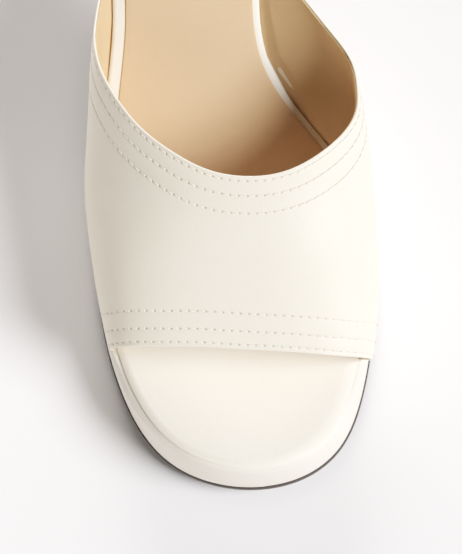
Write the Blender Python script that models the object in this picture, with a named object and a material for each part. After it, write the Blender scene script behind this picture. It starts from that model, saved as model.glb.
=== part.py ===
"""Right platform mule: a wide open-toe band on a padded insole, a wrapped platform and a block heel.

Frame: metres, +Z up, toe towards -Y, inner (medial) side of the foot towards +X. The origin lies on
the ground under the middle of the shoe. Tables are in millimetres. "along" is the distance back
along the foot, "lateral" is its outer side (-X) and "medial" its inner side (+X).
"""
import math

import bmesh
import bpy
import numpy as np

MM = 0.001
GAP = 0.3                  # clearance between pieces that touch

# ---- driving dimensions ------------------------------------------------------------------------
LENGTH = 236.7             # toe tip to back of heel
TOE_TIP = -0.7             # the toe tip, in the along of the tables
MIDDLE_X = 0.3             # middle of the shoe's width, in the x of the tables
TOE_SPRING = 4.8           # lift of the outsole at the toe tip
FLAT_FROM = 45.0           # outsole touches the ground from here ...
FLAT_TO = 88.0             # ... to here
WAIST_FROM = 150.0         # sole has its thin waist section from here to the heel breast
WAIST_THICKNESS = 8.5      # platform and outsole together, in the waist
OUTSOLE_THICKNESS = 3.0
OUTSOLE_WELT = 0.2         # outsole stands proud of the platform
SEAT_RISE = 2.2            # platform and heel reach this far above the feather line
PLATFORM_TOP_MARGIN = 2.5  # platform's top edge outside the insole, where the upper stands on it
PLATFORM_TIP_MARGIN = 1.4  # and at the bare toe
PLATFORM_EDGE_RADIUS = 1.0
HEEL_BREAST = 180.0        # front face of the heel, at its top
INSOLE_THICKNESS = 1.4
INSOLE_EDGE_RADIUS = 1.1
WALL = 2.0                 # upper: outer leather, interlining and lining
HEEL_MARGIN = 0.5          # heel block outside the insole
HEEL_BOTTOM_SCALE = 0.9    # width of the heel at the ground against its width at the top
HEEL_BREAST_SLOPE = 3.5    # breast runs back by this much towards the ground
HEEL_BACK_SLOPE = 6.0      # back of the heel runs forward by this much towards the ground
HEEL_MIDDLE_X = -3.5
TOP_PIECE_THICKNESS = 6.0
TOP_PIECE_INSET = 0.3

# Edge of the insole, which is also the feather line of the last.
INSOLE = [
    # along, lateral x, medial x
    (3.8, 1.8, 1.8),
    (11.3, -21.5, 22.2),
    (28.0, -34.4, 32.1),
    (47.0, -39.9, 37.6),
    (75.0, -42.0, 40.1),
    (97.0, -40.9, 35.9),
    (112.0, -37.8, 25.9),
    (127.0, -34.4, 17.1),
    (142.0, -31.0, 14.9),
    (165.0, -29.7, 18.0),
    (195.0, -30.1, 22.7),
    (220.0, -25.8, 21.2),
    (235.5, -2.8, -2.8),
]

# Height of the feather line, the lower edge of the last.
PITCH = [
    # along, height
    (0.0, 22.0),
    (15.0, 19.5),
    (35.0, 17.6),
    (60.0, 17.0),
    (85.0, 17.8),
    (110.0, 24.0),
    (135.0, 36.0),
    (160.0, 50.0),
    (185.0, 62.0),
    (210.0, 70.0),
    (236.0, 76.0),
]

# How far the outsole stands outside the insole.
SOLE_MARGIN = [
    # along, lateral, medial
    (0.0, 4.5, 4.5),
    (12.0, 4.5, 4.6),
    (28.0, 3.6, 4.3),
    (60.0, 3.1, 3.8),
    (100.0, 3.0, 3.2),
    (150.0, 2.8, 2.8),
    (165.0, 1.4, 1.4),
    (236.0, 1.2, 1.2),
]

# Sections of the last above the feather line. The wall swells out by its bulge up to bulge_up, and
# two curves close over the ridge; their fullness is 0.55 on an ellipse and less on a flatter side.
LAST = [
    # along, ridge x, ridge_up, lateral bulge, medial bulge, bulge_up, lateral fullness, medial fullness
    (30.0, 4.2, 25.0, 0.0, 2.2, 11.0, 0.61, 0.61),
    (45.0, 4.2, 32.0, 0.1, 1.7, 12.0, 0.60, 0.63),
    (64.0, 4.7, 39.0, 0.3, 1.4, 13.0, 0.58, 0.64),
    (80.0, 5.7, 45.0, 0.6, 2.2, 14.0, 0.53, 0.62),
    (95.0, 6.7, 50.5, 1.1, 5.4, 16.0, 0.46, 0.63),
    (109.0, 6.7, 55.5, 1.5, 12.7, 18.0, 0.42, 0.74),
    (122.0, 4.7, 60.0, 2.1, 19.2, 19.0, 0.39, 0.60),
    (136.0, 1.7, 65.0, 2.7, 15.8, 17.0, 0.40, 0.40),
    (152.0, -2.3, 70.0, 2.2, 9.3, 15.0, 0.42, 0.40),
]

# Pattern of the band: lines from its toe edge to its collar. "around" is 0 at the lateral feather
# line, 0.5 on the ridge and 1 at the medial feather line.
BAND = [
    # toe edge: around, along; collar: around, along
    (0.00, 45.6, 0.000, 158.0),
    (0.10, 44.3, 0.080, 145.3),
    (0.19, 43.1, 0.165, 133.2),
    (0.27, 42.1, 0.245, 120.3),
    (0.35, 40.5, 0.310, 106.6),
    (0.42, 38.9, 0.379, 95.2),
    (0.49, 36.7, 0.455, 87.1),
    (0.57, 34.6, 0.552, 85.7),
    (0.65, 33.0, 0.661, 92.5),
    (0.73, 32.4, 0.766, 102.3),
    (0.80, 32.4, 0.821, 110.4),
    (0.86, 32.6, 0.861, 122.2),
    (0.93, 33.2, 0.894, 136.5),
    (1.00, 34.4, 1.000, 157.0),
]
BAND_COLUMNS = 52          # across the foot
BAND_ROWS = 14             # toe edge to collar
SOLE_STEPS = 32            # points along each side of the outsole and platform
HEEL_STEPS = 16
HEEL_LEVELS = 8
INSOLE_STEPS = 44

SMOOTH_ANGLE = math.radians(35.0)


# ---- curves --------------------------------------------------------------------------------------
def cubic(knots, values, period=None):
    """Cubic spline through the values: natural ends, or closed when a period is given."""
    knots = np.asarray(knots, float)
    values = np.asarray(values, float)
    if period:
        knots = np.append(knots, knots[0] + period)
        values = np.append(values, values[0])
    step = np.diff(knots)
    slope = np.diff(values) / step
    count = len(knots)
    system = np.zeros((count, count))
    right = np.zeros(count)
    for i in range(1, count - 1):
        system[i, i - 1:i + 2] = step[i - 1], 2 * (step[i - 1] + step[i]), step[i]
        right[i] = 6 * (slope[i] - slope[i - 1])
    system[0, 0] = system[-1, -1] = 1.0
    if period:
        system[0, -1] = -1.0
        system[-1, [0, 1, -2, -1]] = 2 * step[0], step[0], step[-1], 2 * step[-1]
        right[-1] = 6 * (slope[0] - slope[-1])
    bend = np.linalg.solve(system, right)

    def curve(at):
        at = np.asarray(at, float)
        if period:
            at = knots[0] + (at - knots[0]) % period
        i = np.clip(np.searchsorted(knots, at, side="right") - 1, 0, count - 2)
        after = knots[i + 1] - at
        before = at - knots[i]
        return ((bend[i] * after ** 3 + bend[i + 1] * before ** 3) / (6 * step[i])
                + (values[i] / step[i] - bend[i] * step[i] / 6) * after
                + (values[i + 1] / step[i] - bend[i + 1] * step[i] / 6) * before)

    return curve


def table_curves(table):
    """One curve for each column after the first, read at a value of the first."""
    columns = list(zip(*table))
    return [cubic(columns[0], column) for column in columns[1:]]


def smooth_step(value):
    value = np.clip(value, 0.0, 1.0)
    return value * value * (3.0 - 2.0 * value)


# ---- the last: outline, pitch and sections -------------------------------------------------------
TIP = INSOLE[0][0]
HEEL_POINT = INSOLE[-1][0]


def turn_at(along):
    """Angle round the outline: 0 at the toe tip, pi at the back of the heel, on the lateral side."""
    return np.arccos(np.clip(1 - 2 * (np.asarray(along, float) - TIP) / (HEEL_POINT - TIP), -1, 1))


def closed_outline():
    stations = [row[0] for row in INSOLE]
    inner = INSOLE[1:-1]
    turns = list(turn_at(stations)) + [2 * math.pi - turn for turn in turn_at(stations[1:-1])[::-1]]
    across = [row[1] for row in INSOLE] + [row[2] for row in reversed(inner)]
    return cubic(turns, across, period=2 * math.pi)


outline_x = closed_outline()
feather_height, = table_curves(PITCH)
margin_lateral, margin_medial = table_curves(SOLE_MARGIN)
ridge_x, ridge_up, bulge_lateral, bulge_medial, bulge_up, full_lateral, full_medial = table_curves(LAST)


def outline_along(turn):
    return TIP + (HEEL_POINT - TIP) * (1 - np.cos(turn)) / 2


def outline(turn, margin):
    """Plan points (x, along) of the insole's edge moved outwards by a margin."""
    nudge = 1e-4
    across = (outline_x(turn + nudge) - outline_x(turn - nudge)) / (2 * nudge)
    back = (outline_along(turn + nudge) - outline_along(turn - nudge)) / (2 * nudge)
    size = np.hypot(across, back)
    return outline_x(turn) - margin * back / size, outline_along(turn) + margin * across / size


def sole_margin(turn):
    along = outline_along(turn)
    return np.where(turn % (2 * math.pi) < math.pi, margin_lateral(along), margin_medial(along))


def seat_height(along):
    """Top of the platform and the heel."""
    return feather_height(along) + SEAT_RISE


def ground_height(along):
    """Underside of the outsole: toe spring, flat tread, then the arch up to the heel breast."""
    spring = TOE_SPRING * (np.clip(FLAT_FROM - along, 0, None) / FLAT_FROM) ** 2
    rise = smooth_step((along - FLAT_TO) / (WAIST_FROM - FLAT_TO))
    return spring + rise * (seat_height(along) - WAIST_THICKNESS)


def last_point(around, along):
    """Outer face of the upper at a place round the section and a distance along the foot."""
    lateral = around < 0.5
    side = np.where(lateral, -1.0, 1.0)
    turn = turn_at(along)
    foot = outline_x(np.where(lateral, turn, 2 * math.pi - turn)) + side * (WALL + GAP)
    bulge = np.where(lateral, bulge_lateral(along), bulge_medial(along))
    full = np.where(lateral, full_lateral(along), full_medial(along))
    low = bulge_up(along)
    rise = ridge_up(along) - low
    share = 3 * full * rise / (low + 3 * full * rise)
    from_ridge = np.abs(2 * around - 1)

    up_wall = np.clip((1 - from_ridge) / (1 - share), 0, 1)
    wall_x = foot + side * bulge * (1 - (1 - up_wall) ** 2)

    over = np.clip(1 - from_ridge / share, 0, 1)
    reach = foot + side * bulge - ridge_x(along)
    start = (1 - over) ** 3
    rising = 3 * over * (1 - over) ** 2
    turning = 3 * over ** 2 * (1 - over)
    top_x = ridge_x(along) + reach * (start + rising + turning * full)
    top_z = low + rise * (rising * full + turning + over ** 3)

    on_wall = from_ridge > share
    x = np.where(on_wall, wall_x, top_x)
    wall_z = SEAT_RISE + (low - SEAT_RISE) * up_wall
    z = feather_height(along) + GAP + np.where(on_wall, wall_z, top_z)
    return np.stack([x, along, z], axis=-1)


# ---- mesh helpers --------------------------------------------------------------------------------
def world(points):
    """Points (x, along, z) in millimetres to metres in the shoe's frame."""
    points = np.asarray(points, float) - (MIDDLE_X, TOE_TIP + LENGTH / 2, 0.0)
    return (points * MM).tolist()


def add_object(name, points, faces, material):
    mesh = bpy.data.meshes.new(name)
    mesh.from_pydata(world(points), [], faces)
    shape = bmesh.new()
    shape.from_mesh(mesh)
    bmesh.ops.recalc_face_normals(shape, faces=shape.faces)
    shape.to_mesh(mesh)
    shape.free()
    mesh.shade_smooth()
    mesh.set_sharp_from_angle(angle=SMOOTH_ANGLE)
    mesh.materials.append(material)
    piece = bpy.data.objects.new(name, mesh)
    bpy.context.scene.collection.objects.link(piece)
    return piece


def leather_or_rubber(name, colour, roughness):
    material = bpy.data.materials.new(name)
    material.use_nodes = True
    shader = material.node_tree.nodes["Principled BSDF"]
    shader.inputs["Base Color"].default_value = (*colour, 1.0)
    shader.inputs["Roughness"].default_value = roughness
    shader.inputs["Metallic"].default_value = 0.0
    return material


def ring_turns(first, last, steps):
    """Turns of a closed ring: lateral side from first to last, then back along the medial side."""
    lateral = np.linspace(first, last, steps + 1)
    medial = 2 * math.pi - lateral[::-1]
    if last == math.pi:
        medial = medial[1:]
    if first == 0.0:
        medial = medial[:-1]
    return np.concatenate([lateral, medial])


def ring(turns, margin, height_at, breast=None):
    """Ring of points round the outline; its straight end lies at the heel breast."""
    x, along = outline(turns, margin)
    if breast is not None:
        ends = np.isclose(turns, BREAST_TURN) | np.isclose(turns, 2 * math.pi - BREAST_TURN)
        along = np.where(ends, breast, along)
    return np.stack([x, along, height_at(along)], axis=-1)


def cap_faces(count, starts_at_tip):
    """Strips across a ring, from lateral points to their medial partners."""
    def partner(i):
        return (count - i) % count if starts_at_tip else count - 1 - i

    faces = []
    for i in range(count // 2):
        corners = (i, i + 1, partner(i + 1), partner(i))
        faces.append(tuple(dict.fromkeys(corners)))
    return faces


def stack_rings(name, rings, starts_at_tip, material):
    """Closed solid from equal rings, bottom first."""
    count = len(rings[0])
    faces = []
    for level in range(len(rings) - 1):
        low = level * count
        for i in range(count):
            after = (i + 1) % count
            faces.append((low + i, low + after, low + count + after, low + count + i))
    for low in (0, (len(rings) - 1) * count):
        faces += [tuple(low + i for i in face) for face in cap_faces(count, starts_at_tip)]
    return add_object(name, np.concatenate(rings), faces, material)


def rounded_edge(radius, steps):
    """Inset and drop of points along a rounded top edge, from the side up to the top."""
    angles = [math.pi / 2 * i / steps for i in range(steps + 1)]
    return [(radius * (1 - math.cos(angle)), radius * (1 - math.sin(angle))) for angle in angles]


# ---- pieces --------------------------------------------------------------------------------------
BREAST_TURN = float(turn_at(HEEL_BREAST))
SOLE_TURNS = ring_turns(0.0, BREAST_TURN, SOLE_STEPS)
HEEL_TURNS = ring_turns(BREAST_TURN, math.pi, HEEL_STEPS)
INSOLE_TURNS = ring_turns(0.0, math.pi, INSOLE_STEPS)


def make_outsole(material):
    bevel = 0.6
    levels = [(-bevel, 0.0), (0.0, bevel), (0.0, OUTSOLE_THICKNESS)]
    rings = []
    for out, up in levels:
        margin = sole_margin(SOLE_TURNS) + out
        rings.append(ring(SOLE_TURNS, margin, lambda along: ground_height(along) + up, HEEL_BREAST))
    return stack_rings("outsole", rings, True, material)


def platform_top_margin(turns):
    """Ledge round the insole: wide enough for the upper to stand on, narrow at the bare toe."""
    widening = smooth_step((outline_along(turns) - 12) / 20)
    margin = PLATFORM_TIP_MARGIN + (PLATFORM_TOP_MARGIN - PLATFORM_TIP_MARGIN) * widening
    return np.minimum(margin, sole_margin(turns) - OUTSOLE_WELT)


def make_platform(material):
    foot = sole_margin(SOLE_TURNS) - OUTSOLE_WELT
    top = platform_top_margin(SOLE_TURNS)
    over_sole = OUTSOLE_THICKNESS + GAP
    rings = [ring(SOLE_TURNS, foot, lambda along: ground_height(along) + over_sole, HEEL_BREAST)]
    for inset, drop in rounded_edge(PLATFORM_EDGE_RADIUS, 3):
        rings.append(ring(SOLE_TURNS, top - inset, lambda along: seat_height(along) - drop, HEEL_BREAST))
    return stack_rings("platform", rings, True, material)


def make_insole(material):
    bevel = 0.2
    levels = [(bevel, INSOLE_THICKNESS), (0.0, INSOLE_THICKNESS - bevel)]
    levels += rounded_edge(INSOLE_EDGE_RADIUS, 4)
    rings = []
    for inset, drop in levels:
        up = GAP + INSOLE_THICKNESS - drop
        rings.append(ring(INSOLE_TURNS, -inset, lambda along: seat_height(along) + up))
    return stack_rings("insole", rings, True, material)


def heel_ring(fall, margin):
    """Ring of the heel block, from its seat (fall 0) to its foot (fall 1), without its height."""
    x, along = outline(HEEL_TURNS, margin)
    along = np.clip(along, HEEL_BREAST + 2 * GAP, None)
    towards_back = (along - HEEL_BREAST) / (HEEL_POINT - HEEL_BREAST)
    shift = HEEL_BREAST_SLOPE * (1 - towards_back) - HEEL_BACK_SLOPE * towards_back
    ease = 1 - (1 - fall) ** 2
    width = 1 - (1 - HEEL_BOTTOM_SCALE) * ease
    return HEEL_MIDDLE_X + (x - HEEL_MIDDLE_X) * width, along + shift * ease, along


def make_heel(material):
    foot = TOP_PIECE_THICKNESS + GAP
    rings = []
    for level in range(HEEL_LEVELS + 1):
        fall = 1 - level / HEEL_LEVELS
        x, along, seat_along = heel_ring(fall, HEEL_MARGIN)
        z = foot + (seat_height(seat_along) - foot) * (1 - fall)
        rings.append(np.stack([x, along, z], axis=-1))
    return stack_rings("heel", rings, False, material)


def make_top_piece(material):
    x, along, _ = heel_ring(1.0, HEEL_MARGIN - TOP_PIECE_INSET)
    rings = [np.stack([x, along, np.full_like(x, z)], axis=-1) for z in (0.0, TOP_PIECE_THICKNESS)]
    return stack_rings("top_piece", rings, False, material)


def band_points():
    """Outer face of the band on a grid: columns across the foot, rows from toe edge to collar."""
    lines = np.arange(len(BAND), dtype=float)
    toe_around, toe_along, collar_around, collar_along = (cubic(lines, column) for column in zip(*BAND))
    line = np.linspace(0.0, lines[-1], BAND_COLUMNS + 1)[:, None]
    row = np.linspace(0.0, 1.0, BAND_ROWS + 1)[None, :]
    around = toe_around(line) + row * (collar_around(line) - toe_around(line))
    along = toe_along(line) + row * (collar_along(line) - toe_along(line))
    return last_point(around, along)


def make_upper(material):
    """Hollow band with a real wall, open at the toe, at the collar and underneath."""
    outer = band_points()
    across = np.gradient(outer, axis=0)
    back = np.gradient(outer, axis=1)
    normal = np.cross(across, back)
    normal /= np.linalg.norm(normal, axis=-1, keepdims=True)
    inner = outer - WALL * normal

    columns, rows = outer.shape[:2]
    count = columns * rows

    def corner(column, row, layer):
        return layer * count + column * rows + row

    faces = []
    for column in range(columns - 1):
        for row in range(rows - 1):
            for layer in (0, 1):
                faces.append((corner(column, row, layer), corner(column + 1, row, layer),
                              corner(column + 1, row + 1, layer), corner(column, row + 1, layer)))
    for column in range(columns - 1):
        for row in (0, rows - 1):
            faces.append((corner(column, row, 0), corner(column + 1, row, 0),
                          corner(column + 1, row, 1), corner(column, row, 1)))
    for row in range(rows - 1):
        for column in (0, columns - 1):
            faces.append((corner(column, row, 0), corner(column, row + 1, 0),
                          corner(column, row + 1, 1), corner(column, row, 1)))
    points = np.concatenate([outer.reshape(-1, 3), inner.reshape(-1, 3)])
    return add_object("upper", points, faces, material)


def main():
    for old in list(bpy.data.objects):
        bpy.data.objects.remove(old, do_unlink=True)
    cream = leather_or_rubber("cream_leather", (0.83, 0.79, 0.70), 0.45)
    wrapped = leather_or_rubber("cream_wrap", (0.80, 0.77, 0.69), 0.45)
    padded = leather_or_rubber("cream_insole", (0.86, 0.82, 0.72), 0.50)
    dark = leather_or_rubber("dark_rubber", (0.035, 0.026, 0.022), 0.60)
    make_outsole(dark)
    make_platform(wrapped)
    make_insole(padded)
    make_heel(wrapped)
    make_top_piece(dark)
    make_upper(cream)


main()
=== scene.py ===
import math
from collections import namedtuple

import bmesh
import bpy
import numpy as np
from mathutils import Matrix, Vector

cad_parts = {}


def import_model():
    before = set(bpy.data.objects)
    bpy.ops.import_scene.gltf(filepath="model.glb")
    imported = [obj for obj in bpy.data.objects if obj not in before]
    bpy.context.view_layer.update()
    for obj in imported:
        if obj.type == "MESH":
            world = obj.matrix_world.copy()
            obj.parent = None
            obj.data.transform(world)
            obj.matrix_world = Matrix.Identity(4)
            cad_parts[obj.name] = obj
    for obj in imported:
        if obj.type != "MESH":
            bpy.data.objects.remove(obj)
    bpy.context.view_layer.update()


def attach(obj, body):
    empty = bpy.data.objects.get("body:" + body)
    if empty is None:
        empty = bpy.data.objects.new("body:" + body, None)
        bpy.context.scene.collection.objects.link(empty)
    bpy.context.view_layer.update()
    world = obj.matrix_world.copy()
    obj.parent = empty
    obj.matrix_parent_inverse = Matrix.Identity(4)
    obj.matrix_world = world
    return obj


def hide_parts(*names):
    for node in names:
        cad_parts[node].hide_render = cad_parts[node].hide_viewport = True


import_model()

# Looks of the right platform mule: a wide leather band with six rows of stitching, a tan lining and
# sock, a padded insole, a wrapped platform and block heel, and a thin dark outsole.
#
# Frame: metres, +Z up, toe towards -Y. Tables and sizes are in millimetres and in the terms of the
# solids: "along" is the distance back from the toe tip, "lateral" is the outer side of the foot (-X)
# and "medial" the inner side (+X).

MM = 0.001

# ---- the shoe's driving dimensions, as in the solids -----------------
LENGTH = 236.7
TOE_TIP = -0.7
MIDDLE_X = 0.3
TOE_SPRING = 4.8
FLAT_FROM = 45.0
FLAT_TO = 88.0
WAIST_FROM = 150.0
WAIST_THICKNESS = 8.5
OUTSOLE_THICKNESS = 3.0
SEAT_RISE = 2.2            # platform and heel reach this far above the feather line
PLATFORM_TOP_MARGIN = 2.5
PLATFORM_TIP_MARGIN = 1.4
HEEL_BREAST = 180.0
INSOLE_TOP = 3.9           # above the feather line
WALL = 2.0
GAP = 0.3
HEEL_MARGIN = 0.5
HEEL_BOTTOM_SCALE = 0.9
HEEL_BREAST_SLOPE = 3.5
HEEL_BACK_SLOPE = 6.0
HEEL_MIDDLE_X = -3.5
TOP_PIECE_THICKNESS = 6.0
TOP_PIECE_INSET = 0.3

# Edge of the insole, which is also the feather line of the last.
INSOLE = [
    # along, lateral x, medial x
    (3.8, 1.8, 1.8),
    (11.3, -21.5, 22.2),
    (28.0, -34.4, 32.1),
    (47.0, -39.9, 37.6),
    (75.0, -42.0, 40.1),
    (97.0, -40.9, 35.9),
    (112.0, -37.8, 25.9),
    (127.0, -34.4, 17.1),
    (142.0, -31.0, 14.9),
    (165.0, -29.7, 18.0),
    (195.0, -30.1, 22.7),
    (220.0, -25.8, 21.2),
    (235.5, -2.8, -2.8),
]

# Height of the feather line, the lower edge of the last.
PITCH = [
    # along, height
    (0.0, 22.0),
    (15.0, 19.5),
    (35.0, 17.6),
    (60.0, 17.0),
    (85.0, 17.8),
    (110.0, 24.0),
    (135.0, 36.0),
    (160.0, 50.0),
    (185.0, 62.0),
    (210.0, 70.0),
    (236.0, 76.0),
]

# How far the outsole stands outside the insole.
SOLE_MARGIN = [
    # along, lateral, medial
    (0.0, 4.5, 4.5),
    (12.0, 4.5, 4.6),
    (28.0, 3.6, 4.3),
    (60.0, 3.1, 3.8),
    (100.0, 3.0, 3.2),
    (150.0, 2.8, 2.8),
    (165.0, 1.4, 1.4),
    (236.0, 1.2, 1.2),
]

# How far the outsole's edge stands proud of the platform's wall.
WELT = [
    # along, lateral, medial
    (0.0, 0.60, 0.60),
    (9.0, 0.31, 0.50),
    (25.0, 0.32, 0.52),
    (37.0, 0.40, 0.56),
    (60.0, 0.50, 0.62),
    (180.0, 0.50, 0.60),
]

# The lateral wall of the band is a little slack: how far its shoulder sinks below the last.
SLACK = [
    # along, sinking
    (30.0, 0.0),
    (60.0, 0.0),
    (75.0, 0.4),
    (92.0, 1.2),
    (110.0, 1.4),
    (125.0, 0.9),
    (142.0, 0.3),
    (160.0, 0.0),
]
SLACK_START = 0.13         # share of the way from the ridge to the foot at which it starts
SLACK_DEEPEST = 0.53       # and at which it is deepest

# Sections of the last above the feather line. The wall swells out by its bulge up to the height
# "bulge up", and two curves close over the ridge; their fullness is 0.55 on an ellipse and less on
# a flatter side.
LAST = [
    # along, ridge x, ridge up, lateral and medial bulge, bulge up, lateral and medial fullness
    (30.0, 4.2, 25.0, 0.0, 2.2, 11.0, 0.68, 0.61),
    (45.0, 4.2, 32.0, 0.1, 1.7, 12.0, 0.69, 0.63),
    (64.0, 4.7, 39.0, 0.3, 1.4, 13.0, 0.64, 0.64),
    (80.0, 5.7, 45.0, 0.6, 2.2, 14.0, 0.545, 0.62),
    (95.0, 6.7, 50.5, 1.1, 5.4, 16.0, 0.46, 0.63),
    (109.0, 6.7, 55.5, 1.5, 12.7, 18.0, 0.42, 0.74),
    (122.0, 4.7, 60.0, 2.1, 19.2, 19.0, 0.39, 0.60),
    (136.0, 1.7, 65.0, 2.7, 15.8, 17.0, 0.40, 0.40),
    (152.0, -2.3, 70.0, 2.2, 9.3, 15.0, 0.42, 0.40),
]

# Pattern of the band: lines from its toe edge to its collar. "around" is 0 at the lateral feather
# line, 0.5 on the ridge and 1 at the medial feather line.
BAND = [
    # toe edge: around, along; collar: around, along
    (0.00, 45.6, 0.000, 158.0),
    (0.10, 44.3, 0.080, 145.3),
    (0.19, 43.1, 0.165, 133.2),
    (0.27, 42.1, 0.245, 120.3),
    (0.35, 40.5, 0.310, 106.6),
    (0.42, 38.9, 0.379, 95.2),
    (0.49, 36.5, 0.455, 87.1),
    (0.57, 34.5, 0.552, 85.7),
    (0.65, 33.0, 0.661, 92.5),
    (0.73, 32.4, 0.766, 102.3),
    (0.80, 32.4, 0.821, 110.4),
    (0.86, 32.6, 0.861, 122.2),
    (0.93, 33.2, 0.894, 136.5),
    (1.00, 34.4, 1.000, 157.0),
]

# ---- sizes of what this file adds ------------------------------------
LEATHER_THICKNESS = 1.1    # outer leather of the band with its interlining
LEATHER_EDGE = 0.75        # skived and folded at the edges
LINING_THICKNESS = 0.85
LINING_EDGE = 0.45
LINING_GAP = 0.05          # between the leather and the lining
LINING_SETBACK = 0.24      # edge of the lining inside the folded edge
SKIVE = 7.0                # width over which both thin out towards an edge
BAND_FOOT_LIFT = 0.02      # foot of the band above the seat

STITCH_PITCH = 2.6
THREAD_RADIUS = 0.15
THREAD_DIVE = 0.50         # ends of a thread below the leather, and its middle above it
THREAD_RISE = 0.02
THREAD_BEND = 0.24         # share of its length over which it dives
THREAD_SLANT = 0.10
BARE_ENDS = 2.0            # length without stitches at both ends of a row
TOE_ROWS = (1.5, 5.6, 11.0)        # distance of each stitch row from the toe edge
COLLAR_ROWS = (1.5, 6.0, 11.3)     # and from the collar
HOLE_DEPTH = 0.32
HOLE_SPREAD = 0.32         # along the row
HOLE_WIDTH = 0.27          # across the row
TIGHT_HOLES = 0.12         # share of a hole that stays open on the tighter, medial side
TIGHT_FROM = 0.5           # share of the row at which they start to close
TIGHT_TO = 0.75
TROUGH_DEPTH = 0.06        # leather drawn in along a row of stitches
TROUGH_WIDTH = 0.55
PILLOW_HEIGHT = 0.08       # leather standing up between two rows

INSOLE_CROWN = 0.25        # pad under the insole's cover, at the middle
INSOLE_CROWN_POWER = 5
INSOLE_SLOPE_WIDTH = 2.5   # the pad thins towards its edge over this width at the toe,
INSOLE_SLOPE_DROP = 1.0    # by this much,
INSOLE_SLOPE_POWER = 1.9
WAIST_SLOPE_SHARE = 0.45   # and by this share of both from the ball back
WAIST_SLOPE_FROM = 45.0
WAIST_SLOPE_TO = 85.0
MEDIAL_SOFTENING = 0.8     # on the medial side the slope is wider by this share,
MEDIAL_SOFTENING_X = 25.0  # fully from this x outwards,
MEDIAL_DROP_LOSS = 0.4     # and shallower by this much of the softening
SOCK_FROM = 70.0           # hidden front end of the sock, under the band
SOCK_THICKNESS = 0.45      # above the insole's cover
SOCK_BORDER = 3.0          # bare border at its ends, and what it gains halfway
SOCK_BORDER_GAIN = 1.0
SOCK_EDGE = 0.3            # radius of its edge
SOCK_SUNK = 0.4            # its skirt reaches this far into the cover

PLATFORM_EDGE = 1.0
PLATFORM_TOE_EDGE = 1.9    # rounder where no upper stands on it:
PLATFORM_BARE_TO = 37.0    # fully up to here,
PLATFORM_BARE_FADE = 45.0  # and no more from here back
PLATFORM_FALL = 0.55       # how much of the edge falls evenly, and how much in a round
PLATFORM_SLANT = 0.8       # extra fall on the lateral side of the bare edge
PLATFORM_SLANT_TO = 36.0
PLATFORM_SLANT_FADE = 50.0
PLATFORM_SLANT_X = -24.0   # fully from this x outwards
PLATFORM_WIDENS_FROM = 12.0        # its top goes over from the tip's margin to the side's
PLATFORM_WIDENS_TO = 32.0
PLATFORM_BELLY = 0.18
PLATFORM_TUCK = 0.5        # the wrap turns in at the foot of the wall
PLATFORM_TUCK_SHARE = 0.06
OUTSOLE_EDGE = 0.5
HEEL_CORNER = 1.6          # radius of the two upright edges at the breast

SMOOTH_ANGLE = math.radians(38.0)
WELD = 1e-6

# ---- view and light --------------------------------------------------
CAMERA_TARGET = (-0.0030, -0.05785, 0.045)
CAMERA_AZIMUTH = -6.0      # from straight in front of the toe, towards the medial side
CAMERA_ELEVATION = 78.0
CAMERA_DISTANCE = 0.75
CAMERA_LENS = 160.8

# A large soft window at the right, and two low panels, behind and at the front left.
SUNS = [
    # name, azimuth (0 from +X, 90 from +Y), elevation, apparent width, irradiance, colour
    ("window", -19.0, 42.3, 31.0, 3.25, (1.0, 0.98, 1.0)),
    ("back_panel", 89.0, 17.0, 32.0, 2.45, (1.0, 0.918, 0.905)),
    ("front_left_panel", -129.0, 17.0, 36.0, 0.87, (1.0, 0.913, 0.835)),
]
STUDIO_COLOUR = (1.0, 0.985, 0.965)
HORIZON_GLOW = 0.80
ZENITH_GLOW = 0.04
HORIZON_HEIGHT = 0.12      # sine of the angle over which the horizon's glow fades

TONES = (0.02, 0.04, 0.10, 0.18, 0.30, 0.45, 0.65, 0.85)
SHOULDER = 0.5             # how far bright tones are held together
SHADOW_DEPTH = 0.2667      # how far the darkest tones are deepened, and up to about which tone
SHADOW_TONE = 0.06


# ---- curves ----------------------------------------------------------
def cubic(knots, values, period=None):
    """Cubic spline through the values: natural ends, or closed when a period is given."""
    knots = np.asarray(knots, float)
    values = np.asarray(values, float)
    if period:
        knots = np.append(knots, knots[0] + period)
        values = np.append(values, values[0])
    step = np.diff(knots)
    slope = np.diff(values) / step
    count = len(knots)
    system = np.zeros((count, count))
    right = np.zeros(count)
    for i in range(1, count - 1):
        system[i, i - 1:i + 2] = step[i - 1], 2 * (step[i - 1] + step[i]), step[i]
        right[i] = 6 * (slope[i] - slope[i - 1])
    system[0, 0] = system[-1, -1] = 1.0
    if period:
        system[0, -1] = -1.0
        system[-1, [0, 1, -2, -1]] = 2 * step[0], step[0], step[-1], 2 * step[-1]
        right[-1] = 6 * (slope[0] - slope[-1])
    bend = np.linalg.solve(system, right)

    def curve(at):
        at = np.asarray(at, float)
        if period:
            at = knots[0] + (at - knots[0]) % period
        i = np.clip(np.searchsorted(knots, at, side="right") - 1, 0, count - 2)
        after = knots[i + 1] - at
        before = at - knots[i]
        return ((bend[i] * after ** 3 + bend[i + 1] * before ** 3) / (6 * step[i])
                + (values[i] / step[i] - bend[i] * step[i] / 6) * after
                + (values[i + 1] / step[i] - bend[i + 1] * step[i] / 6) * before)

    return curve


def table_curves(table):
    """One curve for each column after the first, read at a value of the first."""
    columns = list(zip(*table))
    return [cubic(columns[0], column) for column in columns[1:]]


def smooth_step(value):
    value = np.clip(value, 0.0, 1.0)
    return value * value * (3.0 - 2.0 * value)


def ramp(value, start, end):
    """Smooth rise from 0 at the start to 1 at the end."""
    return smooth_step((value - start) / (end - start))


def blend(start, end, share):
    return start + (end - start) * share


def unit(vectors):
    return vectors / np.linalg.norm(vectors, axis=-1, keepdims=True)


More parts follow.
